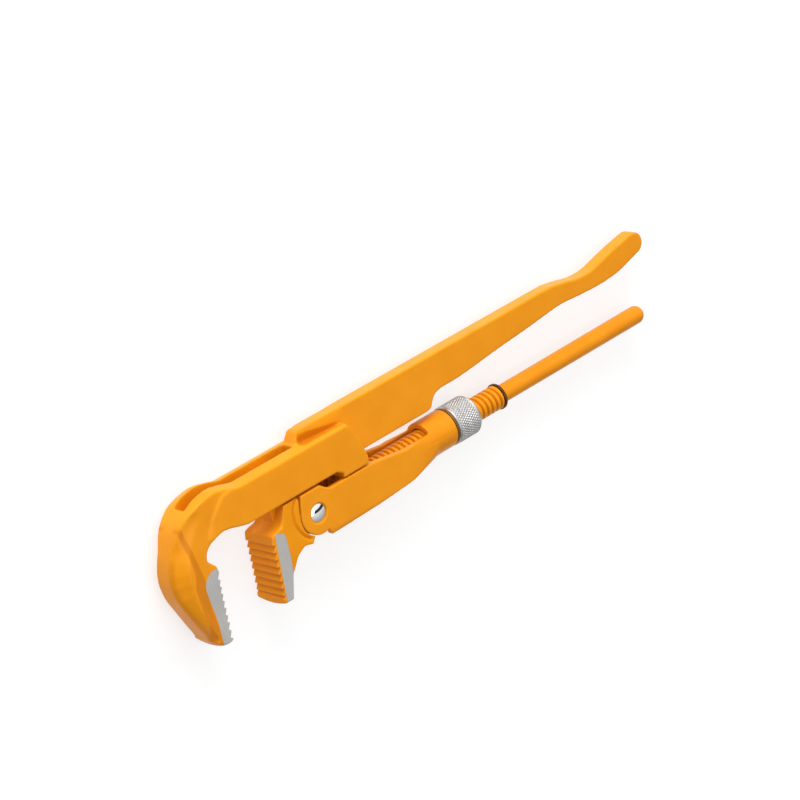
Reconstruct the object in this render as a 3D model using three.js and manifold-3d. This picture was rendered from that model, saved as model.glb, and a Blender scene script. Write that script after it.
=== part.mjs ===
// Pipe wrench of the 90 degree pattern, lying flat: X runs from the jaws to the handle ends,
// Y across the jaws' opening from the threaded leg to the lever, Z through the thickness.
// Outlines are drawn about the leg pin, whose centre is on the screw axis (the X line).
// Millimetres.
import * as THREE from 'three';
import { mergeVertices } from 'three/addons/utils/BufferGeometryUtils.js';
import Module from 'manifold-3d';

const wasm = await Module();
wasm.setup();

// ---- driving dimensions ----
const JAW_HALF = 12.75; // half thickness of both jaws, the fork cheeks and the nut's radius
const WEB_HALF = 5.3; // half thickness of the lever's handle
const SLOT_HALF = 5; // half width of the lever's fork slot
const GAP = 0.4; // clearance between pieces that move past each other
const FIT = 0.3; // clearance of a pin, a ring or a rivet's head in its seat
const PAST = 20; // how far a cut goes through the thickness

const ARM_TOP = 42.4; // top of the fork cheeks
const ARM_UNDER = 16.6; // underside of the fork cheeks
const HANDLE_TOP = 49.3; // top of the lever's handle
const BELLY_UNDER = 17.5; // underside of the wide part of the handle
const SLOT_LEFT = -119.6; // fork slot, at its top
const SLOT_RIGHT = -34.6;
const LOBE_UNDER = 11.3; // underside of the lobe that carries the leg pin
const LUG_RADIUS = 8.6; // the lug round the leg pin, inside the stirrup
const LUG_HALF = 8;
const LUG_ROOM = 16; // the cut for the leg's eye goes past the lug on every side

const TOOTH_PITCH = 4.46;
const TOOTH_DEPTH = 2;
const TOOTH_RISE = 0.4; // how far a tooth's short face leans
// The hook's back, from the arm to the tip; its rim is thinner than the jaw.
const HOOK_BACK = [[-123.5, 38.4], [-129, 33.6], [-133, 27.4], [-138, 18.4], [-140.8, 9.5],
  [-141.6, 2], [-140.2, -6.9], [-136.4, -16.5], [-132.2, -26.5], [-127.6, -37]];
const RIM_HALF = 6.9; // half thickness at the rim, once its bevel is full
const BEVEL_WIDTH = 9; // above the pin, and narrowing towards the hook's tip
const BEVEL_NARROWEST = 3.2;
const BEVEL_TOP = 41; // the bevel grows between these heights
const BEVEL_FULL = 21;
const HOOK_TEETH = 9;
const HOOK_TEETH_TOP = { x: -111.8, y: -0.2 };
const HOOK_LEAN = 0.066; // how far the tooth line leans back, per millimetre down
const LOWER_TEETH = 8;
const LOWER_TEETH_TOP = { x: -72, y: 0.8 };
const LOWER_LEAN = 0.073;

const RIVET_X = -34.2; // the jaw rivet, on the screw axis
const RIVET_RADIUS = 5;
const RIVET_HEAD_RADIUS = 5.7;
const RIVET_SEAT = 10.9; // floor of the head's recess, from the middle plane
const EYE_RADIUS = 12; // the lower jaw's eye, between the stirrup's cheeks
const EYE_HALF = 7.9;
const BRIDGE_LENGTH = 23; // from the rivet into the neck
const SOCKET_RADIUS = 13.6; // the lower jaw's hollow round the stirrup's ends
const NECK_HALF = JAW_HALF - 0.8;
const TONGUE_HALF = 4.6;

const STIRRUP_HALF = 12.5;
const STIRRUP_END_RADIUS = 13.2;
const STIRRUP_INNER_HALF = LUG_HALF + GAP;
const STIRRUP_TOP = 15.3; // top edge beside the arm
const WINDOW_EDGE = 10.4; // top edge under the lobe
const WINDOW_LOW_EDGE = 6.5; // top edge beside the thread
const WINDOW_RIGHT = 61.5;
const CHANNEL_FLOOR = -9.6;
const CHANNEL_UNDER = -17.6; // underside of the channel, before it tapers to the tube
const CHANNEL_CORNER = 4; // its rounded lower corners
const CHANNEL_LEFT = -60; // cuts along the channel start here, left of its end
const TUBE_LEFT = 26; // the tube's wall starts inside the channel
const TUBE_RADIUS = 12.3;
const TUBE_RIGHT = 82;
const TUBE_BORE = 8.4;
const BORE_LEFT = 50; // where the channel between the cheeks becomes the tube's bore
const JAW_ROOM_RIGHT = RIVET_X + EYE_RADIUS * 0.72; // the cheeks are apart here, for the jaw's eye

const PIN_RADIUS = 4;
const LEG_EYE_RADIUS = 8.2;
const LEG_EYE_HALF = 4.7;
const NECK_RIGHT = 14; // where the flattened neck becomes the round thread
const THREAD_RADIUS = 7.8;
const THREAD_RIGHT = 127.4;
const ROD_RADIUS = 5.7;
const ROD_END_RADIUS = 5.95;
const ROD_END_X = 257; // centre of the rod's round end

const RING_WIDTH = 1.2;
const RING_RADIUS = 12.4;
const NUT_LEFT = 83.8;
const NUT_RIGHT = 103.4;
const NUT_BORE = 8.1;
const NUT_CHAMFER = 2.6;
const STOP_WIDTH = 1.8;
const STOP_RADIUS = 8.5;

const ROUND_SIDES = 40;

// ---- solids ----
function solid(geometry) {
  const bare = geometry.clone();
  bare.deleteAttribute('normal');
  bare.deleteAttribute('uv');
  const merged = mergeVertices(bare, 1e-4);
  return new wasm.Manifold(new wasm.Mesh({
    numProp: 3,
    vertProperties: new Float32Array(merged.attributes.position.array),
    triVerts: new Uint32Array(merged.index.array),
  }));
}

// A side outline pushed through the thickness, between two heights.
function plate(shape, low, high) {
  const geometry = new THREE.ExtrudeGeometry(shape, {
    depth: high - low,
    bevelEnabled: false,
    curveSegments: 4,
  });
  geometry.translate(0, 0, low);
  return solid(geometry);
}

function plateAbout(shape, half) {
  return plate(shape, -half, half);
}

function block(x0, x1, y0, y1, z0, z1) {
  const geometry = new THREE.BoxGeometry(x1 - x0, y1 - y0, z1 - z0);
  geometry.translate((x0 + x1) / 2, (y0 + y1) / 2, (z0 + z1) / 2);
  return solid(geometry);
}

// A body turned about the screw axis; each point is [distance along X, radius].
function turned(points, sides = ROUND_SIDES) {
  const profile = points.map(([along, radius]) => new THREE.Vector2(radius, along));
  const geometry = new THREE.LatheGeometry(profile, sides);
  geometry.rotateZ(-Math.PI / 2);
  return solid(geometry);
}

// A round bar along Z.
function post(x, radius, low, high, sides = ROUND_SIDES) {
  const geometry = new THREE.CylinderGeometry(radius, radius, high - low, sides);
  geometry.rotateX(Math.PI / 2);
  geometry.translate(x, 0, (low + high) / 2);
  return solid(geometry);
}

function piece(name, body, material) {
  const { vertProperties, triVerts } = body.getMesh();
  const geometry = new THREE.BufferGeometry();
  geometry.setAttribute('position', new THREE.BufferAttribute(vertProperties, 3));
  geometry.setIndex(new THREE.BufferAttribute(triVerts, 1));
  geometry.computeVertexNormals();
  const mesh = new THREE.Mesh(geometry, material);
  mesh.name = name;
  return mesh;
}

function points(list) {
  return list.map(([x, y]) => new THREE.Vector2(x, y));
}

function lines(shape, list) {
  for (const [x, y] of list) {
    shape.lineTo(x, y);
  }
}

// ---- upper lever: hook jaw, fork arm and handle, one forging ----
function hookTip(index) {
  const down = index * TOOTH_PITCH;
  return [HOOK_TEETH_TOP.x - down * HOOK_LEAN, HOOK_TEETH_TOP.y - down];
}

// The side outline of everything that has the full thickness.
function hookAndArmOutline() {
  const shape = new THREE.Shape();
  shape.moveTo(2, ARM_TOP);
  shape.lineTo(-84, ARM_TOP);
  shape.splineThru(points([[-93, 44.9], [-101, 46.3], [-110, 45], [-117.5, 42], ...HOOK_BACK]));
  shape.splineThru(points([[-122.6, -41.6], [-117.5, -42.4], [-114.6, -41.4]]));
  lines(shape, [hookTip(HOOK_TEETH)]);
  for (let index = HOOK_TEETH; index > 0; index -= 1) {
    const [tipX, tipY] = hookTip(index);
    lines(shape, [[tipX - TOOTH_DEPTH, tipY + TOOTH_RISE], hookTip(index - 1)]);
  }
  lines(shape, [[-112.4, 3.8], [-117.3, 9.2]]);
  shape.splineThru(points([[-116.2, 12.9], [-114.2, 15.6], [-110, 18.3], [-104, 20.4],
    [-97.6, 20.2], [-90.5, 18.3], [-83.4, ARM_UNDER]]));
  lines(shape, [[-13.8, ARM_UNDER], [-9, 13.6], [-10, LOBE_UNDER], [9.4, LOBE_UNDER]]);
  shape.splineThru(points([[11.2, 14], [10.6, 19], [7.6, 30], [2, ARM_TOP]]));
  return shape;
}

function handleOutline() {
  const shape = new THREE.Shape();
  shape.moveTo(-36, ARM_UNDER + 12);
  lines(shape, [[-34.8, 39], [-32.4, 44], [-29.6, 48.2], [-27.6, HANDLE_TOP], [188, HANDLE_TOP]]);
  shape.splineThru(points([[200, 47.4], [212, 45], [224, 45], [236, 47.6], [248, 50.4], [262, 53]]));
  shape.absarc(266.4, 46.6, 7, Math.PI * 0.62, -Math.PI * 0.38, true);
  shape.splineThru(points([[258, 37.2], [246, 34.4], [230, 33.3], [212, 33.8], [194, 34.9],
    [180, 33.9], [160, 32], [136, 30.2], [112, 27.9], [96, 26.7], [84, 26.7]]));
  shape.splineThru(points([[78, 25.3], [74.6, 22], [72.4, 18.6], [69, BELLY_UNDER]]));
  lines(shape, [[6, BELLY_UNDER], [-10, ARM_UNDER + 2]]);
  return shape;
}

function lugOutline() {
  const shape = new THREE.Shape();
  shape.moveTo(LUG_RADIUS, LOBE_UNDER + 4);
  shape.lineTo(LUG_RADIUS, 0);
  shape.absarc(0, 0, LUG_RADIUS, 0, -Math.PI, true);
  shape.lineTo(-LUG_RADIUS, LOBE_UNDER + 4);
  return shape;
}

// A wedge that bevels one side face along one length of the hook's back.
function bevelWedge([startX, startY], [endX, endY], side) {
  const middle = (startY + endY) / 2;
  const share = Math.min(1, Math.max(0, (BEVEL_TOP - middle) / (BEVEL_TOP - BEVEL_FULL)));
  const rim = JAW_HALF - (JAW_HALF - RIM_HALF) * share;
  const width = Math.min(BEVEL_WIDTH, Math.max(BEVEL_NARROWEST, BEVEL_WIDTH + 0.22 * middle));
  const steepness = (JAW_HALF - rim) / width;
  const outside = 4;
  const above = 1;
  const section = new THREE.Shape(points([[-outside, side * (rim - outside * steepness)],
    [width + above / steepness, side * (JAW_HALF + above)],
    [-outside, side * (JAW_HALF + above)]]));
  const length = Math.hypot(endX - startX, endY - startY);
  const past = 1.2;
  const geometry = new THREE.ExtrudeGeometry(section, { depth: length + 2 * past, bevelEnabled: false });
  geometry.translate(0, 0, -past);
  // The section's first axis points into the hook, its second up, and its depth along the back.
  const along = new THREE.Vector3(endX - startX, endY - startY, 0).normalize();
  const inward = new THREE.Vector3(-along.y, along.x, 0);
  const basis = new THREE.Matrix4().makeBasis(inward, new THREE.Vector3(0, 0, 1), along);
  geometry.applyMatrix4(basis);
  geometry.translate(startX, startY, 0);
  return solid(geometry);
}

function bevelled(body) {
  let result = body;
  for (let index = 1; index < HOOK_BACK.length; index += 1) {
    for (const side of [-1, 1]) {
      result = result.subtract(bevelWedge(HOOK_BACK[index - 1], HOOK_BACK[index], side));
    }
  }
  return result;
}

// The fork slot goes through from the top of the arm to the throat and the underside.
function slotOutline() {
  return new THREE.Shape(points([[SLOT_LEFT, 60], [SLOT_LEFT, 42], [-104, 19], [-104, 10],
    [SLOT_RIGHT, 10], [SLOT_RIGHT, 60]]));
}

function upperLever() {
  const legRoom = LEG_EYE_HALF + GAP;
  return bevelled(plateAbout(hookAndArmOutline(), JAW_HALF))
    .add(plateAbout(handleOutline(), WEB_HALF))
    .add(plateAbout(lugOutline(), LUG_HALF))
    .subtract(plateAbout(slotOutline(), SLOT_HALF))
    .subtract(block(-LUG_ROOM, LUG_ROOM, -LUG_ROOM, LEG_EYE_RADIUS + 1.4, -legRoom, legRoom))
    .subtract(post(0, PIN_RADIUS + FIT, -PAST, PAST));
}

// ---- lower jaw: toothed block, neck, eye and the tongue in the fork slot ----
function lowerTip(index) {
  const down = index * TOOTH_PITCH;
  return [LOWER_TEETH_TOP.x - down * LOWER_LEAN, LOWER_TEETH_TOP.y - down];
}

function jawBlockOutline() {
  const shape = new THREE.Shape();
  shape.moveTo(-61.4, 4.2);
  lines(shape, [[-68.3, 3.1], [-71.2, 1.9]]);
  for (let index = 1; index <= LOWER_TEETH; index += 1) {
    const [tipX, tipY] = lowerTip(index);
    lines(shape, [[tipX, tipY + TOOTH_RISE], [tipX + TOOTH_DEPTH, tipY]]);
  }
  lines(shape, [[-73.6, -35.6], [-74.6, -36.6], [-74.9, -38.6], [-74, -39.3], [-68, -39.4],
    [-65.4, -31.6], [-63.3, -25], [-61.8, -13.8]]);
  return shape;
}

// The neck ends in a lip round the stirrup's end.
function neckOutline() {
  const shape = new THREE.Shape();
  shape.moveTo(-68, 3.1);
  shape.quadraticCurveTo(-61.5, 4.1, -60, 8.5);
  lines(shape, [[-57, STIRRUP_TOP], [-45.9, STIRRUP_TOP], [-45.8, 12.5], [-47.4, 5], [RIVET_X, 0],
    [-40.8, -12.4], [-43.6, -15.8]]);
  shape.splineThru(points([[-49, -14.4], [-52.6, -15.6], [-56.4, -18], [-60.4, -23], [-64, -27]]));
  shape.lineTo(-67, -12);
  return shape;
}

function tongueOutline() {
  return new THREE.Shape(points([[-62, 6], [-61.5, 33], [-58.5, 36], [-50.5, 36], [-48, 33], [-48, 6]]));
}

function lowerJaw() {
  const eye = post(RIVET_X, EYE_RADIUS, -EYE_HALF, EYE_HALF);
  const bridge = block(RIVET_X - BRIDGE_LENGTH, RIVET_X, -9, 9, -EYE_HALF, EYE_HALF);
  const socket = post(RIVET_X, SOCKET_RADIUS, -PAST, PAST);
  return plateAbout(neckOutline(), NECK_HALF)
    .subtract(socket)
    .add(plateAbout(jawBlockOutline(), JAW_HALF))
    .add(plateAbout(tongueOutline(), TONGUE_HALF).subtract(socket))
    .add(eye)
    .add(bridge)
    .subtract(post(RIVET_X, RIVET_RADIUS + GAP, -PAST, PAST));
}

// ---- stirrup: two cheeks on the lower jaw, a channel and a tube behind the nut ----
function stirrupOutline() {
  const shape = new THREE.Shape();
  shape.moveTo(-43.8, STIRRUP_TOP);
  lines(shape, [[-28.6, STIRRUP_TOP], [-24.3, 11.8], [-21.5, WINDOW_EDGE], [12, WINDOW_EDGE],
    [40, WINDOW_LOW_EDGE], [WINDOW_RIGHT, WINDOW_LOW_EDGE], [WINDOW_RIGHT, 0], [TUBE_RIGHT, 0],
    [TUBE_RIGHT, -TUBE_RADIUS], [66, -TUBE_RADIUS], [41, -14], [28, -14.7], [11, -15.9],
    [-13, -16.6], [-27.4, -17.2], [-29, -15.8], [-29.4, -12]]);
  shape.absarc(RIVET_X, 0, STIRRUP_END_RADIUS, -Math.PI * 0.372, -Math.PI * 1.12, true);
  shape.lineTo(-44.4, 13.5);
  return shape;
}

// The channel's section across X: flat cheeks with rounded lower corners.
function channelSection() {
  const shape = new THREE.Shape();
  const low = CHANNEL_UNDER;
  const corner = CHANNEL_CORNER;
  shape.moveTo(-STIRRUP_HALF, PAST);
  shape.lineTo(-STIRRUP_HALF, low + corner);
  shape.quadraticCurveTo(-STIRRUP_HALF, low, -STIRRUP_HALF + corner, low);
  shape.lineTo(STIRRUP_HALF - corner, low);
  shape.quadraticCurveTo(STIRRUP_HALF, low, STIRRUP_HALF, low + corner);
  shape.lineTo(STIRRUP_HALF, PAST);
  return shape;
}

function channelBar(left, right) {
  const geometry = new THREE.ExtrudeGeometry(channelSection(), {
    depth: right - left,
    bevelEnabled: false,
    curveSegments: 4,
  });
  geometry.rotateY(Math.PI / 2);
  geometry.translate(left, 0, 0);
  return solid(geometry);
}

function stirrup() {
  const round = TUBE_RADIUS;
  const tube = turned([[TUBE_LEFT, 0], [TUBE_LEFT, round], [TUBE_RIGHT, round], [TUBE_RIGHT, 0]]);
  const tubeBelow = tube.subtract(block(TUBE_LEFT - 1, WINDOW_RIGHT, WINDOW_LOW_EDGE, PAST, -PAST, PAST));
  // The taper brings the flat-sided channel down to the round tube.
  const taper = turned([[CHANNEL_LEFT, 0], [CHANNEL_LEFT, 24], [16, 21.5], [41, 18.2],
    [66, round + 0.1], [TUBE_RIGHT, round], [TUBE_RIGHT, 0]]);
  const inner = STIRRUP_INNER_HALF;
  const bore = turned([[BORE_LEFT, 0], [BORE_LEFT, TUBE_BORE], [TUBE_RIGHT + 1, TUBE_BORE],
    [TUBE_RIGHT + 1, 0]]);
  return plateAbout(stirrupOutline(), STIRRUP_HALF)
    .intersect(channelBar(CHANNEL_LEFT, TUBE_RIGHT))
    .intersect(taper)
    .add(tubeBelow)
    .subtract(block(CHANNEL_LEFT, BORE_LEFT, CHANNEL_FLOOR, PAST, -inner, inner))
    .subtract(block(BORE_LEFT - 1, WINDOW_RIGHT, 0, PAST, -TUBE_BORE, TUBE_BORE))
    .subtract(block(CHANNEL_LEFT, JAW_ROOM_RIGHT, -PAST, PAST, -inner, inner))
    .subtract(bore)
    .subtract(post(RIVET_X, RIVET_RADIUS + FIT, -PAST, PAST))
    .subtract(post(RIVET_X, RIVET_HEAD_RADIUS + FIT, RIVET_SEAT, PAST))
    .subtract(post(RIVET_X, RIVET_HEAD_RADIUS + FIT, -PAST, -RIVET_SEAT));
}

// ---- threaded leg: flat eye on the pin, screw and round handle rod ----
function threadedLeg() {
  const bar = turned([[-2, 0], [-2, THREAD_RADIUS], [THREAD_RIGHT, THREAD_RADIUS],
    [THREAD_RIGHT, ROD_RADIUS], [ROD_END_X - 40, ROD_END_RADIUS], [ROD_END_X, ROD_END_RADIUS],
    [ROD_END_X + 3, ROD_END_RADIUS * 0.865], [ROD_END_X + 5.1, ROD_END_RADIUS * 0.5],
    [ROD_END_X + 5.9, 0]]);
  return bar
    .subtract(block(-PAST, NECK_RIGHT, -PAST, PAST, LEG_EYE_HALF, PAST))
    .subtract(block(-PAST, NECK_RIGHT, -PAST, PAST, -PAST, -LEG_EYE_HALF))
    .add(post(0, LEG_EYE_RADIUS, -LEG_EYE_HALF, LEG_EYE_HALF))
    .subtract(post(0, PIN_RADIUS + FIT, -PAST, PAST));
}

function sleeve(left, right, inner, outer, chamfer = 0) {
  return turned([[left, inner], [left, outer], [right - chamfer, outer],
    [right, outer - chamfer * 0.8], [right, inner], [left, inner]]);
}

// ---- the rivet's shaft and its two low domed heads ----
function jawRivet() {
  const seat = -RIVET_SEAT - FIT;
  const profile = [[-12.7, 0], [-12.5, 2.4], [-12, 4.6], [-11.6, RIVET_HEAD_RADIUS],
    [seat, RIVET_HEAD_RADIUS], [seat, RIVET_RADIUS]];
  const mirrored = profile.map(([along, radius]) => [-along, radius]).reverse();
  const outline = profile.concat(mirrored).map(([along, radius]) => new THREE.Vector2(radius, along));
  const geometry = new THREE.LatheGeometry(outline, ROUND_SIDES);
  geometry.rotateX(Math.PI / 2);
  geometry.translate(RIVET_X, 0, 0);
  return solid(geometry);
}

// ---- finishes ----
function paint(color) {
  return new THREE.MeshStandardMaterial({ color, roughness: 0.35, metalness: 0.1 });
}

function metal(color, roughness) {
  return new THREE.MeshStandardMaterial({ color, roughness, metalness: 1 });
}

// ---- assembly, with its origin under the middle of its box ----
const wrench = new THREE.Group();
wrench.add(
  piece('upper_lever', upperLever(), paint(0xeb9823)),
  piece('lower_jaw', lowerJaw(), paint(0xe08e20)),
  piece('stirrup', stirrup(), paint(0xe69526)),
  piece('threaded_leg', threadedLeg(), paint(0xe69018)),
  piece('leg_pin', post(0, PIN_RADIUS, -LUG_HALF, LUG_HALF), metal(0x9a9a98, 0.4)),
  piece('jaw_rivet', jawRivet(), metal(0xd8d8da, 0.15)),
  piece('nut_retaining_ring', sleeve(TUBE_RIGHT + FIT, TUBE_RIGHT + FIT + RING_WIDTH, TUBE_BORE,
    RING_RADIUS), metal(0x4a2f16, 0.5)),
  piece('adjusting_nut', sleeve(NUT_LEFT, NUT_RIGHT, NUT_BORE, JAW_HALF, NUT_CHAMFER),
    metal(0xc3c1c3, 0.3)),
  piece('stop_ring', sleeve(THREAD_RIGHT + FIT, THREAD_RIGHT + FIT + STOP_WIDTH, ROD_RADIUS + FIT,
    STOP_RADIUS), metal(0x33231a, 0.5)),
);

const box = new THREE.Box3().setFromObject(wrench);
const centre = box.getCenter(new THREE.Vector3());
wrench.position.set(-centre.x, -centre.y, -box.min.z);

export default wrench;
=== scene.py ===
import math

import bmesh
import bpy
import numpy as np
from mathutils import Matrix, Vector


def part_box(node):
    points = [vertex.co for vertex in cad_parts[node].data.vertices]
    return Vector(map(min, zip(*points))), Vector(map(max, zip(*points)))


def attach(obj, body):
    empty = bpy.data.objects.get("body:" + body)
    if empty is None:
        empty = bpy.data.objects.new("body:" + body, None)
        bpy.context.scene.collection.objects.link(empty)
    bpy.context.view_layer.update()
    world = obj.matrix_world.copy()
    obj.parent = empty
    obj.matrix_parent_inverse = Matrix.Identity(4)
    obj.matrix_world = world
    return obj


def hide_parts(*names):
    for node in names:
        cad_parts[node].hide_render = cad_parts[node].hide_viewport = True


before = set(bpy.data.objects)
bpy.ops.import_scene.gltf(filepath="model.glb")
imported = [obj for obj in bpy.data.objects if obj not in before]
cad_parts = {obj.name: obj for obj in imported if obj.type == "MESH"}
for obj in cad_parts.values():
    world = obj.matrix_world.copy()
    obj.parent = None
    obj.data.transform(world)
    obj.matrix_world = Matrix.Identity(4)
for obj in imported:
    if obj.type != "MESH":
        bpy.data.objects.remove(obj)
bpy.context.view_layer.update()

# Pieces are drawn in millimetres about the leg pin, with X along the screw, as the CAD source is.
MM = 0.001
pin_low, pin_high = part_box("leg_pin")
PIN_CENTRE = (pin_low + pin_high) / 2


def size_of(node):
    """A node's lowest and highest corner, in millimetres about the leg pin."""
    low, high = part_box(node)
    return np.array(low - PIN_CENTRE) / MM, np.array(high - PIN_CENTRE) / MM


# ---- driving dimensions, from the frame ----
_, lever_high = size_of("upper_lever")
nut_low, nut_high = size_of("adjusting_nut")
ring_low, ring_high = size_of("nut_retaining_ring")
stop_low, stop_high = size_of("stop_ring")
_, leg_high = size_of("threaded_leg")
rivet_low, rivet_high = size_of("jaw_rivet")

JAW_HALF = lever_high[2]
SLAB_HALF = 5.3
ARM_TOP = 42.4
CHEEK_RIGHT = 9.5
PITCH = 4.0
THREAD_LEFT = 15.0
THREAD_RIGHT = stop_low[0] - 0.3
CREST_RADIUS = 7.75
ROOT_RADIUS = 6.1
EYE_HALF = 4.7
EYE_RADIUS = 8.2
BORE_PLAY = 0.3
NECK_HALF = EYE_HALF
ROD_RADIUS = 5.7
ROD_END_RADIUS = 5.95
RIVET_X = (rivet_low[0] + rivet_high[0]) / 2
RIVET_HEAD_RADIUS = (rivet_high[0] - rivet_low[0]) / 2
STIRRUP_HALF = 12.5
TUBE_RADIUS = 12.3


# ---- mesh tools ----
def ease(value):
    """A smooth step from 0 to 1 as value goes from 0 to 1."""
    t = np.clip(value, 0, 1)
    return t * t * (3 - 2 * t)


def corners_of(mesh):
    flat = np.empty(len(mesh.vertices) * 3, np.float32)
    mesh.vertices.foreach_get("co", flat)
    return flat.reshape(-1, 3).astype(float)


def set_corners(mesh, corners):
    mesh.vertices.foreach_set("co", corners.astype(np.float32).ravel())
    mesh.update()


def edges_of(mesh):
    flat = np.empty(len(mesh.edges) * 2, np.int32)
    mesh.edges.foreach_get("vertices", flat)
    return flat.reshape(-1, 2)


def normals_of(mesh):
    flat = np.empty(len(mesh.vertices) * 3, np.float32)
    mesh.vertex_normals.foreach_get("vector", flat)
    return flat.reshape(-1, 3).astype(float)


def pull_to_neighbours(corners, edges):
    """How far each vertex is from the mean of its neighbours."""
    count = len(corners)
    start, end = edges[:, 0], edges[:, 1]
    degree = np.bincount(start, minlength=count) + np.bincount(end, minlength=count)
    total = np.empty_like(corners)
    for axis in range(corners.shape[1]):
        total[:, axis] = np.bincount(start, weights=corners[end, axis], minlength=count)
        total[:, axis] += np.bincount(end, weights=corners[start, axis], minlength=count)
    return total / np.maximum(degree, 1)[:, None] - corners


def soften(mesh, rounds, weight_of):
    """Rounds the edges of a mesh, more where weight_of is nearer to 1."""
    corners, edges = corners_of(mesh), edges_of(mesh)
    weight = 0.5 * weight_of(corners)[:, None]
    for _ in range(rounds):
        corners += weight * pull_to_neighbours(corners, edges)
    set_corners(mesh, corners)


def frame_copy(node):
    """A copy of a CAD node's mesh, welded, in millimetres about the leg pin."""
    work = bmesh.new()
    work.from_mesh(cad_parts[node].data)
    bmesh.ops.remove_doubles(work, verts=work.verts, dist=1e-6)
    mesh = bpy.data.meshes.new(node + "_copy")
    work.to_mesh(mesh)
    work.free()
    mesh.transform(Matrix.Scale(1 / MM, 4) @ Matrix.Translation(-PIN_CENTRE))
    return mesh


def remeshed(mesh, voxel):
    """The same solid as an even grid of small faces, voxel millimetres across."""
    holder = bpy.data.objects.new("holder", mesh)
    bpy.context.scene.collection.objects.link(holder)
    modifier = holder.modifiers.new("grid", "REMESH")
    modifier.mode = "VOXEL"
    modifier.voxel_size = voxel
    evaluated = holder.evaluated_get(bpy.context.evaluated_depsgraph_get())
    result = bpy.data.meshes.new_from_object(evaluated)
    bpy.data.objects.remove(holder)
    bpy.data.meshes.remove(mesh)
    return result


def forged(node, voxel, sculpt, rounds, weight_of):
    """A forging made from a CAD node: its edges rounded and its surface shaped by sculpt."""
    mesh = remeshed(frame_copy(node), voxel)
    set_corners(mesh, sculpt(corners_of(mesh)))
    mesh = remeshed(mesh, voxel)
    soften(mesh, rounds, weight_of)
    return mesh


def add_value(mesh, name, values):
    attribute = mesh.attributes.new(name, "FLOAT", "POINT")
    attribute.data.foreach_set("value", values.astype(np.float32))


def mark_edges(mesh):
    """Stores how sharply the surface bends: above 0 along edges, below 0 in corners."""
    corners, edges = corners_of(mesh), edges_of(mesh)
    span = np.linalg.norm(corners[edges[:, 0]] - corners[edges[:, 1]], axis=1).mean()
    bend = -(pull_to_neighbours(corners, edges) * normals_of(mesh)).sum(1) / span**2
    for _ in range(3):
        bend += 0.6 * pull_to_neighbours(bend[:, None], edges)[:, 0]
    add_value(mesh, "bend", bend)


def revolved(profile, sides, axis="X", centre=0.0, closed=False, shape=None):
    """A body turned about X, or about Z through X = centre. Each profile point is (along, radius).
    shape changes the radius at (along, radius, angle)."""
    stations = np.array(profile, float)
    angles = np.arange(sides) * 2 * math.pi / sides
    along, turn = np.meshgrid(stations[:, 0], angles, indexing="ij")
    radius = np.repeat(stations[:, 1:2], sides, axis=1)
    if shape is not None:
        radius = shape(along, radius, turn)
    across, up = radius * np.cos(turn), radius * np.sin(turn)
    if axis == "X":
        corners = np.stack([along, across, up], -1)
    else:
        corners = np.stack([centre + across, up, along], -1)
    rows, columns = along.shape
    faces = []
    for row in range(rows if closed else rows - 1):
        below = (row + 1) % rows
        for column in range(columns):
            right = (column + 1) % columns
            faces.append((row * columns + column, row * columns + right,
                          below * columns + right, below * columns + column))
    mesh = bpy.data.meshes.new("turned")
    mesh.from_pydata(corners.reshape(-1, 3).tolist(), [], faces)
    return welded(mesh)


def welded(mesh):
    """Closes the poles and turns the faces outwards."""
    work = bmesh.new()
    work.from_mesh(mesh)
    bmesh.ops.remove_doubles(work, verts=work.verts, dist=1e-5)
    bmesh.ops.dissolve_degenerate(work, edges=work.edges, dist=1e-6)
    bmesh.ops.recalc_face_normals(work, faces=work.faces)
    work.to_mesh(mesh)
    work.free()
    mesh.update()
    return mesh


def joined(*meshes):
    work = bmesh.new()
    for mesh in meshes:
        work.from_mesh(mesh)
        bpy.data.meshes.remove(mesh)
    result = bpy.data.meshes.new("joined")
    work.to_mesh(result)
    work.free()
    return result


def piece(mesh, node, body, material):
    """The finished piece that stands for a CAD node and moves with its body."""
    mark_edges(mesh)
    mesh.transform(Matrix.Translation(PIN_CENTRE) @ Matrix.Scale(MM, 4))
    mesh.polygons.foreach_set("use_smooth", np.ones(len(mesh.polygons), bool))
    mesh.materials.clear()
    mesh.materials.append(material)
    made = bpy.data.objects.new(node + "_surface", mesh)
    bpy.context.scene.collection.objects.link(made)
    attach(made, body)
    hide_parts(node)
    return made


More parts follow.
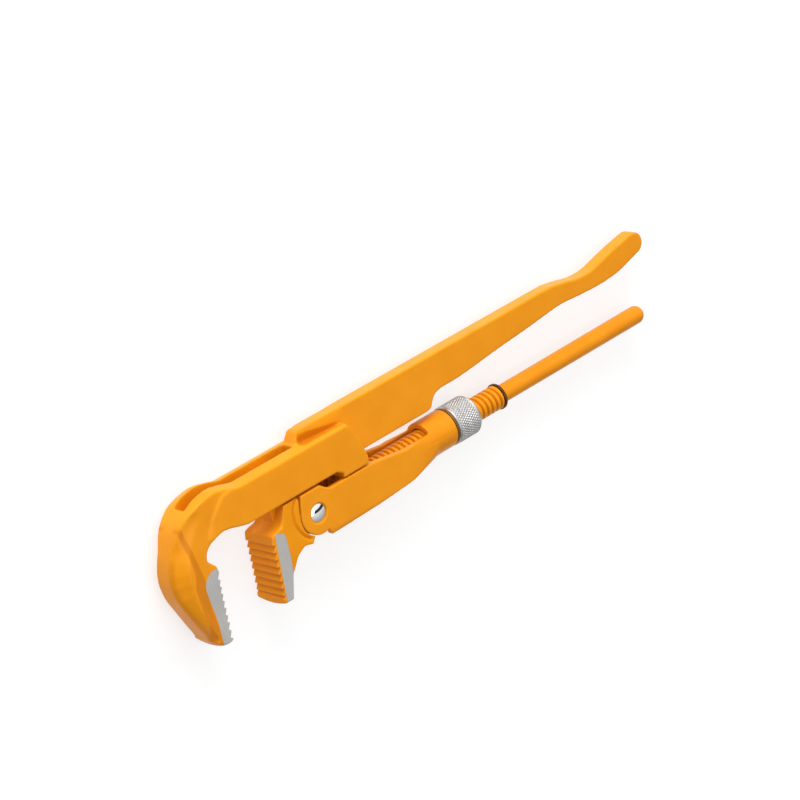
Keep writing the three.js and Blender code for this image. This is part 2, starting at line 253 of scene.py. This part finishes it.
# ---- materials ----
class Shader:
    """A material with one Principled shader, and short ways to add nodes to it."""

    def __init__(self, name, **values):
        self.material = bpy.data.materials.new(name)
        self.material.use_nodes = True
        self.tree = self.material.node_tree
        self.surface = self.tree.nodes["Principled BSDF"]
        for socket, value in values.items():
            self.surface.inputs[socket.replace("_", " ")].default_value = value

    def node(self, kind, inputs=(), **settings):
        made = self.tree.nodes.new("ShaderNode" + kind)
        for key, value in settings.items():
            setattr(made, key, value)
        for socket, value in dict(inputs).items():
            self.feed(made.inputs[socket], value)
        return made

    def feed(self, socket, value):
        if isinstance(value, bpy.types.NodeSocket):
            self.tree.links.new(value, socket)
        else:
            socket.default_value = value

    def place(self):
        return self.node("TexCoord").outputs["Object"]

    def noise(self, scale, detail=3.0, stretch=None):
        where = self.place()
        if stretch is not None:
            where = self.node("Mapping", {"Vector": where, "Scale": stretch}).outputs["Vector"]
        inputs = {"Vector": where, "Scale": scale, "Detail": detail}
        return self.node("TexNoise", inputs).outputs["Fac"]

    def value(self, name):
        return self.node("Attribute", attribute_name=name).outputs["Fac"]

    def scaled(self, value, low, high, out_low=0.0, out_high=1.0):
        inputs = {"Value": value, "From Min": low, "From Max": high,
                  "To Min": out_low, "To Max": out_high}
        return self.node("MapRange", inputs, interpolation_type="SMOOTHSTEP").outputs["Result"]

    def math(self, operation, first, second):
        return self.node("Math", {0: first, 1: second}, operation=operation).outputs[0]

    def colour(self, factor, first, second):
        inputs = {"Factor": factor, "A": first, "B": second}
        made = self.node("Mix", data_type="RGBA")
        for socket in made.inputs:
            if socket.enabled and socket.name in inputs:
                self.feed(socket, inputs[socket.name])
        return [s for s in made.outputs if s.enabled][0]

    def bump(self, height, distance, strength, below=None):
        inputs = {"Height": height, "Distance": distance, "Strength": strength}
        if below is not None:
            inputs["Normal"] = below
        return self.node("Bump", inputs).outputs["Normal"]

    def set(self, **sockets):
        for socket, value in sockets.items():
            self.feed(self.surface.inputs[socket.replace("_", " ")], value)
        return self.material


PAINT = (0.80, 0.292, 0.007, 1)
PAINT_DEEP = (0.76, 0.262, 0.004, 1)
PAINT_THIN_AND_HIGHLIGHT = (0.92, 0.43, 0.09, 1)
PAINTED_SHADE_ORANGE = (0.56, 0.165, 0.002, 1)
CORNER_SHADE = (0.38, 0.09, 0.002, 1)
STEEL = (0.50, 0.485, 0.465, 1)
STEEL_DARK = (0.44, 0.43, 0.41, 1)


def paint_material(name, ground, gloss=0.15):
    """Glossy orange paint over a forging. Where ground is set, the side faces are bare steel."""
    shader = Shader(name, Specular_IOR_Level=gloss)
    mottle = shader.scaled(shader.noise(55, 5), 0.25, 0.75)
    bend = shader.value("bend")
    colour = shader.colour(mottle, PAINT_DEEP, PAINT)
    # Convex edges are lighter: the paint is thin and worn there, and a painted highlight is laid on them too.
    edge = shader.scaled(bend, 0.10, 0.55)
    colour = shader.colour(shader.math("MULTIPLY", edge, 0.4), colour, PAINT_THIN_AND_HIGHLIGHT)
    # Painted shade: concave corners, creases and grooves are darkened towards a deep brown.
    corner_shade = shader.scaled(bend, -0.08, -0.5)
    colour = shader.colour(shader.math("MULTIPLY", corner_shade, 0.7), colour, CORNER_SHADE)
    # Painted shade: where the shade value is set, the paint is darkened to a deeper orange.
    colour = shader.colour(shader.math("MULTIPLY", shader.value("shade"), 0.75), colour, PAINTED_SHADE_ORANGE)
    roughness = shader.scaled(shader.noise(160, 3), 0.25, 0.75, 0.28, 0.40)
    peel = shader.bump(shader.noise(620, 2), 0.00012, 0.35)
    wave = shader.bump(shader.noise(70, 2), 0.0006, 0.25, peel)
    worn = shader.scaled(shader.noise(420, 3), 0.66, 0.72)
    bare = shader.math("MULTIPLY", shader.scaled(bend, 0.45, 0.9), worn)
    if ground:
        bare = shader.math("MAXIMUM", bare, shader.scaled(shader.value("ground"), -0.25, 0.25))
    lines = shader.noise(1500, 2, (1.0, 0.06, 1.0))
    steel = shader.colour(shader.scaled(lines, 0.2, 0.8), STEEL_DARK, STEEL)
    colour = shader.colour(bare, colour, steel)
    metallic = shader.scaled(bare, 0.2, 0.8, 0.0, 0.3)
    return shader.set(Base_Color=colour, Metallic=metallic, Roughness=roughness, Normal=wave)


TURNED = (1.0, 0.2, 0.2)
DRAWN = (1.0, 1.0, 0.1)


def steel_material(name, light, dark, roughness, grain, stretch):
    """Bare metal with fine turning marks, and painted shade in its grooves."""
    shader = Shader(name, Metallic=1.0)
    lines = shader.noise(grain, 3, stretch)
    colour = shader.colour(shader.scaled(lines, 0.3, 0.7), dark, light)
    # Painted shade: grooves and hollows are darkened to a quarter of the dark tone.
    corner_shade = shader.scaled(shader.value("bend"), -0.1, -1.2)
    groove = tuple(0.25 * channel for channel in dark[:3]) + (1,)
    colour = shader.colour(corner_shade, colour, groove)
    rough = shader.scaled(shader.noise(240, 3), 0.25, 0.75, roughness - 0.06, roughness + 0.08)
    bump = shader.bump(lines, 0.00005, 0.3)
    return shader.set(Base_Color=colour, Roughness=rough, Normal=bump)


def floor_material():
    shader = Shader("floor_paper", Roughness=0.9)
    speck = shader.scaled(shader.noise(9, 3), 0.2, 0.8)
    colour = shader.colour(speck, (0.30, 0.30, 0.30, 1), (0.32, 0.32, 0.32, 1))
    shader.surface.inputs["Emission Color"].default_value = (1, 1, 1, 1)
    shader.surface.inputs["Emission Strength"].default_value = 0.70
    return shader.set(Base_Color=colour)


# ---- upper lever ----
# Each line is the X at which it crosses a height Y.
# On the hook's sides, an outer facet ends in a slope down to the web and the ground face.
SLOPE_TOP_Y = [-42, -34, -25, -11, 4, 19, 34]
SLOPE_TOP_X = [-129.6, -129.2, -129.4, -130.4, -131.1, -131.1, -132.0]
SLOPE_FOOT_Y = [-42, -38.6, -29, -16.5, -6, 1, 13, 30]
SLOPE_FOOT_X = [-122.0, -122.1, -122.6, -123.7, -123.6, -123.0, -125.1, -127.5]
CREASE_Y = [8, 14, 20, 30.6, 34.2, 38.9, 42, 45]
CREASE_X = [-98, -107, -112.0, -106.7, -103.0, -98.2, -94.0, -86.5]
OUTER_Y = [-37, -26.5, -16.5, -6.9, 2, 9.5, 18.4, 27.4, 33.6, 38.4, 42, 45.0, 46.3, 44.9, 42.4]
OUTER_X = [-127.6, -132.2, -136.4, -140.2, -141.6, -140.8, -138, -133, -129, -123.5, -117.5,
           -110, -101, -93, -84]
RIM_CUT = 6.3
FACET_WIDTH = 9.0
FACET_NARROWEST = 3.2
FACET_TOP = 41
FACET_FULL = 21
TIP_BULGE = 2.2
CHEEK_FALL = 2.2
TROUGH_DEPTH = 3.0
WEDGE_DEPTH = 2.8
PAD_TOP = 2.6
PAD_Y = [-44, -36, -29, -21, -13.5, -6.7, -2.6, 0.5, 2.3]
PAD_X = [-122.2, -121.8, -121.6, -121.9, -123.0, -123.7, -123.0, -120.4, -117.5]


def hook_half(x, y):
    """Half thickness of the hook and of the fork's cheeks at (x, y)."""
    top, foot = np.interp(y, SLOPE_TOP_Y, SLOPE_TOP_X), np.interp(y, SLOPE_FOOT_Y, SLOPE_FOOT_X)
    down_slope = ease((x - top) / (foot - top))
    low = 1.0 + 0.7 * ease((-4 - y) / 16)
    step_width = np.interp(y, [20, 34], [5.0, 1.3])
    crease = ease((x - np.interp(y, CREASE_Y, CREASE_X)) / step_width + 0.5)
    hollow = 0.5 * np.exp(-((x + 109.5) ** 2 / 18 + (y - 26) ** 2 / 50))
    to_rim = polyline_distance(x, y, OUTER_X, OUTER_Y)
    past_rim = ease((-108 - x) / 14)
    facet = np.clip(FACET_WIDTH + 0.22 * y, FACET_NARROWEST, FACET_WIDTH)
    fade = np.clip((FACET_TOP - y) / (FACET_TOP - FACET_FULL), 0, 1) * ease((y + 42) / 6)
    rim = RIM_CUT * np.clip(1 - to_rim / facet, 0, 1) * past_rim * fade
    return JAW_HALF - low * down_slope * (1 - crease) - hollow - rim


def slab_shade(x, y, z):
    """Painted shade in the trough between the slab and the cheeks."""
    upper = np.interp(x, [-34, -27, 0, 6], [48.6, 47.0, 42.4, 41.0])
    inside = ease((upper - y) / 0.8 + 0.5) * ease((y - 37) / 2) * ease((x + 29) / 2) * ease((4 - x) / 8)
    return 0.75 * inside * (np.abs(z) < 9) * (np.abs(z) > 2)


def hook_shade(x, y, z):
    """Painted shade on the hook's sides: on the slope, along the rim, on the outer wall and under the tip."""
    top, foot = np.interp(y, SLOPE_TOP_Y, SLOPE_TOP_X), np.interp(y, SLOPE_FOOT_Y, SLOPE_FOOT_X)
    narrow = 1 - 0.45 * ease((y + 4) / 12) - 0.2 * ease((-20 - y) / 12)
    on_slope = ease((x - foot + (foot - top) * narrow) / 1.6 + 0.5) * ease((foot + 0.6 - x) / 1.2 + 0.5)
    to_rim = polyline_distance(x, y, OUTER_X, OUTER_Y)
    along_rim = np.exp(-(((to_rim - 0.6) / 1.5) ** 2))
    wall = 0.3 * np.exp(-((to_rim / 1.5) ** 2)) * ease((36 - y) / 14)
    side = ease((np.abs(z) - 3.5) / 2)
    under = ease((-38 - y) / 3) * (x < -104) * ease((10.5 - np.abs(z)) / 2)
    shade = on_slope * ease((36 - y) / 4) + 0.75 * along_rim * ease((24 - y) / 10) * ease((-100 - x) / 10)
    return np.clip(np.maximum(np.maximum(shade * side, 0.8 * under), wall), 0, 1)


def polyline_distance(x, y, line_x, line_y):
    """Distance from each (x, y) to a line through the given points."""
    best = np.full(x.shape, 1e9)
    for index in range(len(line_x) - 1):
        ax, ay = line_x[index], line_y[index]
        dx, dy = line_x[index + 1] - ax, line_y[index + 1] - ay
        t = np.clip(((x - ax) * dx + (y - ay) * dy) / (dx * dx + dy * dy), 0, 1)
        best = np.minimum(best, np.hypot(x - ax - t * dx, y - ay - t * dy))
    return best


def cut_sides(x, y, z):
    """The hook's side faces are cut to their shape, clear of the fork's slot."""
    half = np.maximum(hook_half(x, y), SLAB_HALF + 1)
    hook = ease((-72 - x) / 10)
    limit = JAW_HALF - hook * (JAW_HALF - half)
    z = np.clip(z, -limit, limit)
    # Where the CAD's bevels lie a little deeper, they are raised to the same smooth shape.
    bevel = (np.abs(z) > np.maximum(limit - 1.8, SLAB_HALF + 0.6)) & (x < -112) & (y < 39)
    return np.where(bevel, np.sign(z) * limit, z)


def lower_cheek_tops(x, y, z):
    """The tops of the fork's cheeks slope down from the slot to the side faces."""
    top = np.interp(x, [-123.5, -117.5, -110, -101, -93, -84], [38.4, 42, 45.0, 46.3, 44.9, ARM_TOP])
    slope = np.clip((np.abs(z) - SLAB_HALF) / (JAW_HALF - SLAB_HALF), 0, 1)
    near_top = ease((y - top + 6) / 5)
    y = y - CHEEK_FALL * slope * near_top * ease((8 - x) / 8) * ease((x + 128) / 20)
    # Beside the slab they slope down to it as well, so that a trough runs along it.
    trough = np.clip((9.4 - np.abs(z)) / 3.5, 0, 1) * (np.abs(z) > SLAB_HALF - 0.2)
    return y - TROUGH_DEPTH * trough * near_top * ease((x + 32) / 5) * ease((6 - x) / 6)


def round_tip(x, y, z):
    """The hook's tip bulges between the two side faces."""
    bulge = 1 - (z / JAW_HALF) ** 2
    return y - TIP_BULGE * bulge * ease((-33 - y) / 8) * ease((-100 - x) / 10)


def cut_wedge(x, y, z):
    """The slab falls away beside the cheek's top, in a long wedge, with a notch at its left end."""
    wedge_top = np.interp(x, [-34, -27, 0], [49.0, 47.4, 41.4])
    depth = np.clip(0.5 * (wedge_top - y), 0, WEDGE_DEPTH) * ease((y - 38) / 3) * ease((x + 31) / 2)
    notch = 1.6 * np.exp(-((x + 26.2) ** 2 + (y - 48.4) ** 2) / 3.5)
    on_slab = (np.abs(z) > 2.4) & (np.abs(z) < SLAB_HALF + 0.3) & (x > -34) & (x < 4)
    return z - np.sign(z) * np.where(on_slab, np.maximum(depth, notch), 0)


def sculpt_lever(corners):
    x, y, z = corners.T
    z = cut_sides(x, y, z)
    y = lower_cheek_tops(x, y, z)
    y = round_tip(x, y, z)
    z = cut_wedge(x, y, z)
    return np.stack([x, y, z], 1)


def lever_softness(corners):
    """Teeth and the ground face stay crisp, the slab is softer and the arm softest."""
    x, y, _ = corners.T
    teeth = ease((x + 121) / 4) * ease((6 - y) / 3) * (x < -100)
    arm = np.where(x < CHEEK_RIGHT, 0.8, 0.65)
    return arm * (1 - 0.93 * teeth)


def shoulder_softness(corners):
    """The hook's shoulder, where the bevel begins, is rounder than the rest."""
    x, y, _ = corners.T
    return 0.9 * ease((-116 - x) / 8) * ease((y - 10) / 8)


def upper_lever():
    mesh = forged("upper_lever", 0.5, sculpt_lever, 11, lever_softness)
    soften(mesh, 30, shoulder_softness)
    x, y, z = corners_of(mesh).T
    right_of_line = x - np.interp(y, PAD_Y, PAD_X)
    below_top = np.minimum(PAD_TOP - y, right_of_line)
    on_side = (np.abs(normals_of(mesh)[:, 2]) > 0.75) & (x < -104)
    add_value(mesh, "ground", np.where(on_side, below_top, -1.0))
    # Painted shade on the hook's sides and in the trough beside the slab.
    add_value(mesh, "shade", np.maximum(hook_shade(x, y, z), slab_shade(x, y, z)))
    return piece(mesh, "upper_lever", "lever", paint_material("lever_paint", True))


# ---- lower jaw ----
GROUND_Y = [-42, -38.5, -30.7, -18.3, -8, -2, 0.6, 2.2]
GROUND_X = [-68.0, -67.1, -64.6, -61.8, -60.7, -61.0, -62.6, -67.5]
LIP_RADIUS = 17.9
LIP_RAISE = 3.0
JAW_BULGE = 1.9
GROOVE_DEPTH = 1.5


def sculpt_jaw(corners):
    x, y, z = corners.T
    bulge = 1 - (z / JAW_HALF) ** 2
    y = y - JAW_BULGE * bulge * ease((-35 - y) / 5)
    # A groove sets off the lip round the stirrup's end.
    from_lip = np.hypot(x - RIVET_X, y - LIP_RAISE) - LIP_RADIUS
    groove = GROOVE_DEPTH * np.exp(-((from_lip / 0.8) ** 2)) * (np.abs(z) > 10) * ease((-42 - x) / 3)
    return np.stack([x, y, z - np.sign(z) * groove], 1)


def jaw_softness(corners):
    x, y, _ = corners.T
    teeth = ease((-66 - x) / 2) * ease((3 - y) / 2)
    return 0.7 * (1 - 0.85 * teeth)


def lower_jaw():
    mesh = forged("lower_jaw", 0.33, sculpt_jaw, 6, jaw_softness)
    x, y, z = corners_of(mesh).T
    left_of_line = np.interp(y, GROUND_Y, GROUND_X) - x
    behind_teeth = x - np.interp(y, [-38, 3], [-72.9, -68.8])
    on_side = np.abs(z) > JAW_HALF - 0.35
    add_value(mesh, "ground", np.where(on_side & (y < PAD_TOP), np.minimum(left_of_line, behind_teeth), -1.0))
    # Painted shade: the jaw's paint grows darker towards its lower end.
    add_value(mesh, "shade", 0.35 * ease((-6 - y) / 20))
    return piece(mesh, "lower_jaw", "jaw", paint_material("jaw_paint", True, 0.08))


# ---- stirrup ----
def sculpt_stirrup(corners):
    """The flat cheeks blend into the round tube beside the window's end."""
    x, y, z = corners.T
    tube_side = np.sqrt(np.maximum(TUBE_RADIUS**2 - y**2, 1.0))
    blend = ease((x - 42) / 19) * (y > 0) * (x < 70)
    limit = STIRRUP_HALF + blend * (np.minimum(tube_side, STIRRUP_HALF) - STIRRUP_HALF)
    return np.stack([x, y, np.clip(z, -limit, limit)], 1)


def stirrup_softness(corners):
    x, _, z = corners.T
    near_rivet = np.abs(x - RIVET_X) < RIVET_HEAD_RADIUS + 1
    return np.where(near_rivet & (np.abs(z) > 8), 0.25, 0.7)


def stirrup():
    mesh = forged("stirrup", 0.36, sculpt_stirrup, 6, stirrup_softness)
    x, y, z = corners_of(mesh).T
    # Painted shade inside the channel at the window's far end, and a lighter painted shade along the tube.
    inside = (np.abs(z) < 8.5) & (np.hypot(y, z) < TUBE_RADIUS - 1.2)
    window_end = ease((x - 19) / 5) * ease((28 - x) / 0.8) * inside
    add_value(mesh, "shade", np.maximum(window_end, 0.3 * ease((x - 44) / 10)))
    return piece(mesh, "stirrup", "slider", paint_material("stirrup_paint", False))


# ---- threaded leg ----
def thread_radius(along, radius, turn):
    """A right-hand screw thread between the neck and the stop ring."""
    phase = np.mod(along / PITCH - turn / (2 * math.pi), 1)
    ridge = ease((1 - np.abs(2 * phase - 1)) * 2.2 - 0.3)
    cut = ROOT_RADIUS + (CREST_RADIUS - ROOT_RADIUS) * ridge
    inside = ease((along - THREAD_LEFT) / 2) * ease((THREAD_RIGHT - along) / 1.2)
    return np.where(along < THREAD_RIGHT, radius + (cut - radius) * inside, radius)


def threaded_leg():
    # The bar starts inside the eye's ring, clear of the pin.
    stations = [(5.4, 0.0), (5.4, CREST_RADIUS - 0.6), (5.8, CREST_RADIUS)]
    for along in np.arange(6.0, THREAD_RIGHT, 0.25):
        stations.append((along, CREST_RADIUS))
    stations.append((THREAD_RIGHT, CREST_RADIUS - 0.3))
    stations.append((THREAD_RIGHT + 0.1, ROD_RADIUS))
    rod_end = leg_high[0] - ROD_END_RADIUS
    for along in np.linspace(THREAD_RIGHT + 1, rod_end, 90):
        share = (along - THREAD_RIGHT) / (rod_end - THREAD_RIGHT)
        stations.append((along, ROD_RADIUS + (ROD_END_RADIUS - ROD_RADIUS) * share))
    for angle in np.linspace(0, math.pi / 2, 12)[1:]:
        stations.append((rod_end + ROD_END_RADIUS * math.sin(angle), ROD_END_RADIUS * math.cos(angle)))
    bar = revolved(stations, 72, shape=thread_radius)
    corners = corners_of(bar)
    flat = NECK_HALF + (CREST_RADIUS - NECK_HALF) * ease((corners[:, 0] - 14) / 2)
    corners[:, 2] = np.clip(corners[:, 2], -flat, flat)
    set_corners(bar, corners)
    bore = (pin_high - pin_low)[0] / 2 / MM + BORE_PLAY
    half, outer = EYE_HALF, EYE_RADIUS
    eye = [(-half, bore), (-half, outer - 0.4), (0.4 - half, outer),
           (half - 0.4, outer), (half, outer - 0.4), (half, bore)]
    mesh = joined(bar, revolved(eye, 64, "Z", closed=True))
    x, y, z = corners_of(mesh).T
    # Painted shade in the thread's roots, and a lighter painted shade along the rod.
    root = ease((CREST_RADIUS - 0.35 - np.hypot(y, z)) / 0.7)
    on_thread = (x > THREAD_LEFT) & (x < THREAD_RIGHT - 0.2)
    add_value(mesh, "shade", np.where(on_thread, root, 0.3 * (x > THREAD_RIGHT)))
    return piece(mesh, "threaded_leg", "leg", paint_material("leg_paint", False))


# ---- knurled nut ----
KNURLS = 44
KNURL_DEPTH = 0.62
KNURL_SLANT = 0.62
NUT_CHAMFER = 2.4
NUT_BORE = 8.15


def knurl_radius(along, radius, turn):
    """Two crossing sets of grooves cut a diamond pattern into the nut's outside."""
    lead = 2 * math.pi * nut_high[1] / KNURLS
    first = turn * KNURLS / (2 * math.pi) + along / lead * KNURL_SLANT
    second = turn * KNURLS / (2 * math.pi) - along / lead * KNURL_SLANT
    grooves = np.maximum(np.abs(np.mod(first, 1) * 2 - 1), np.abs(np.mod(second, 1) * 2 - 1))
    cut = ease((grooves - 0.45) / 0.55)
    left, right = nut_low[0] + 0.9, nut_high[0] - NUT_CHAMFER
    band = ease((along - left) / 0.5) * ease((right - along) / 0.5) * (radius > nut_high[1] - 0.2)
    return radius - KNURL_DEPTH * cut * band


def adjusting_nut():
    outer, bore = nut_high[1], NUT_BORE
    left, right = nut_low[0], nut_high[0]
    stations = [(left, bore), (left, outer - 0.9), (left + 0.2, outer - 0.45), (left + 0.8, outer)]
    for along in np.arange(left + 1.0, right - NUT_CHAMFER, 0.2):
        stations.append((along, outer))
    bevel = [(right - NUT_CHAMFER, outer), (right - 1.5, outer - 0.4), (right - 0.7, outer - 1.0),
             (right - 0.2, outer - 1.7), (right, outer - 2.4), (right, bore + 0.5), (right - 0.4, bore)]
    mesh = revolved(stations + bevel, KNURLS * 8, closed=True, shape=knurl_radius)
    light, dark = (0.60, 0.595, 0.59, 1), (0.46, 0.455, 0.45, 1)
    material = steel_material("nut_steel", light, dark, 0.42, 900, TURNED)
    return piece(mesh, "adjusting_nut", "nut", material)


# ---- rings, rivet and pin ----
def collar(low, high, bore, edge, material, node, body):
    """A ring with rounded edges."""
    left, right, outer = low[0], high[0], high[1]
    profile = [(left, bore)]
    for angle in np.linspace(0, math.pi / 2, 6):
        profile.append((left + edge * (1 - math.cos(angle)), outer - edge * (1 - math.sin(angle))))
    for angle in np.linspace(math.pi / 2, 0, 6):
        profile.append((right - edge * (1 - math.cos(angle)), outer - edge * (1 - math.sin(angle))))
    profile.append((right, bore))
    mesh = revolved(profile, 96, closed=True)
    return piece(mesh, node, body, material)


def nut_retaining_ring():
    light, dark = (0.36, 0.20, 0.08, 1), (0.22, 0.12, 0.05, 1)
    material = steel_material("ring_bronze", light, dark, 0.42, 900, TURNED)
    return collar(ring_low, ring_high, 8.4, 0.3, material, "nut_retaining_ring", "slider")


def stop_ring():
    light, dark = (0.17, 0.08, 0.03, 1), (0.09, 0.04, 0.015, 1)
    material = steel_material("ring_black", light, dark, 0.45, 900, TURNED)
    return collar(stop_low, stop_high, 6.0, 0.45, material, "stop_ring", "leg")


def chrome_material():
    """Polished metal with faint smudges."""
    shader = Shader("rivet_chrome", Metallic=1.0)
    smudge = shader.scaled(shader.noise(300, 3), 0.3, 0.7)
    colour = shader.colour(smudge, (0.86, 0.86, 0.87, 1), (0.93, 0.93, 0.93, 1))
    rough = shader.scaled(shader.noise(800, 2), 0.3, 0.7, 0.04, 0.09)
    return shader.set(Base_Color=colour, Roughness=rough, Normal=shader.bump(smudge, 0.00002, 0.2))


DOME_RISE = 1.1
SHAFT_RADIUS = 4.9


def jaw_rivet():
    """A shaft with a polished low dome at each end."""
    top = rivet_high[2]
    base = top - DOME_RISE
    ball = (RIVET_HEAD_RADIUS**2 + DOME_RISE**2) / (2 * DOME_RISE)
    spread = math.asin(RIVET_HEAD_RADIUS / ball)
    dome = [(top - ball * (1 - math.cos(a)), ball * math.sin(a)) for a in np.linspace(0, spread, 20)]
    rim = [(base - 0.15, RIVET_HEAD_RADIUS), (base - 0.2, RIVET_HEAD_RADIUS - 0.2)]
    upper = dome + rim + [(base - 0.2, SHAFT_RADIUS)]
    lower = [(-along, radius) for along, radius in reversed(upper)]
    mesh = revolved(upper + lower, 96, "Z", RIVET_X)
    return piece(mesh, "jaw_rivet", "slider", chrome_material())


def leg_pin():
    """The CAD pin stays, with a turned steel finish."""
    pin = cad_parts["leg_pin"]
    light, dark = (0.55, 0.55, 0.55, 1), (0.40, 0.40, 0.40, 1)
    finish = steel_material("pin_steel", light, dark, 0.35, 700, DRAWN)
    pin.data.materials.clear()
    pin.data.materials.append(finish)


# ---- the studio ----
def area_light(name, place, size, power, target):
    lamp = bpy.data.lights.new(name, "AREA")
    lamp.shape = "DISK"
    lamp.size = size
    lamp.energy = power
    holder = bpy.data.objects.new(name, lamp)
    holder.location = place
    holder.rotation_euler = (Vector(target) - Vector(place)).to_track_quat("-Z", "Y").to_euler()
    bpy.context.scene.collection.objects.link(holder)


FLOOR_REACH = 6.0
FLOOR_DROP = 0.0005


def floor():
    """A pale plain floor, a hair below the tool."""
    mesh = bpy.data.meshes.new("floor")
    reach = FLOOR_REACH
    square = [(-reach, -reach, 0), (reach, -reach, 0), (reach, reach, 0), (-reach, reach, 0)]
    mesh.from_pydata(square, [], [(0, 1, 2, 3)])
    mesh.materials.append(floor_material())
    made = bpy.data.objects.new("floor", mesh)
    made.location.z = -FLOOR_DROP
    bpy.context.scene.collection.objects.link(made)


def facing(tree, axis):
    """How far a direction into the room points along an axis."""
    direction = tree.nodes.new("ShaderNodeTexCoord").outputs["Generated"]
    made = tree.nodes.new("ShaderNodeVectorMath")
    made.operation = "DOT_PRODUCT"
    made.inputs[1].default_value = axis
    tree.links.new(direction, made.inputs[0])
    return made.outputs["Value"]


def smooth_range(tree, value, low, high, out_low, out_high):
    made = tree.nodes.new("ShaderNodeMapRange")
    made.interpolation_type = "SMOOTHSTEP"
    names = ("From Min", "From Max", "To Min", "To Max")
    for name, number in zip(names, (low, high, out_low, out_high)):
        made.inputs[name].default_value = number
    tree.links.new(value, made.inputs["Value"])
    return made.outputs["Result"]


def room():
    """The room is brighter towards +Y and +Z, with one narrow dark gap between its two soft boxes."""
    world = bpy.data.worlds.new("soft_room")
    world.use_nodes = True
    tree = world.node_tree
    overall = smooth_range(tree, facing(tree, (0.10, 0.70, 0.70)), -0.5, 0.9, 0.20, 1.05)
    distance = tree.nodes.new("ShaderNodeMath")
    distance.operation = "ABSOLUTE"
    tree.links.new(facing(tree, (0, -0.981, -0.195)), distance.inputs[0])
    gap = smooth_range(tree, distance.outputs[0], 0.07, 0.13, 0.03, 1.0)
    product = tree.nodes.new("ShaderNodeMath")
    product.operation = "MULTIPLY"
    tree.links.new(overall, product.inputs[0])
    tree.links.new(gap, product.inputs[1])
    background = tree.nodes["Background"]
    tree.links.new(product.outputs[0], background.inputs["Strength"])
    background.inputs["Color"].default_value = (1, 1, 1, 1)
    bpy.context.scene.world = world


def studio():
    floor()
    room()
    middle = (0, 0, 0.02)
    area_light("key", (-0.12, 1.70, 0.50), 1.5, 27, middle)
    area_light("top_fill", (-0.25, -0.10, 1.60), 1.0, 4.5, middle)
    bpy.context.scene.view_settings.view_transform = "Standard"


def camera():
    """The view from the front, the left and above, rolled so that the handles rise to the right."""
    right = Vector((0.70662788, -0.23780237, 0.6664286))
    up = Vector((0.4079718, 0.9064487, -0.10913187))
    back = Vector((-0.57813152, 0.34899969, 0.73753858))
    lens = bpy.data.cameras.new("view")
    lens.sensor_width = 36
    lens.lens = 130.8
    lens.clip_start, lens.clip_end = 0.05, 50
    made = bpy.data.objects.new("view", lens)
    turn = Matrix((right, up, back)).transposed().to_4x4()
    made.matrix_world = Matrix.Translation(PIN_CENTRE + Vector((-0.95071, 0.637823, 1.28221))) @ turn
    bpy.context.scene.collection.objects.link(made)
    bpy.context.scene.camera = made


upper_lever()
lower_jaw()
stirrup()
threaded_leg()
adjusting_nut()
nut_retaining_ring()
stop_ring()
jaw_rivet()
leg_pin()
studio()
camera()
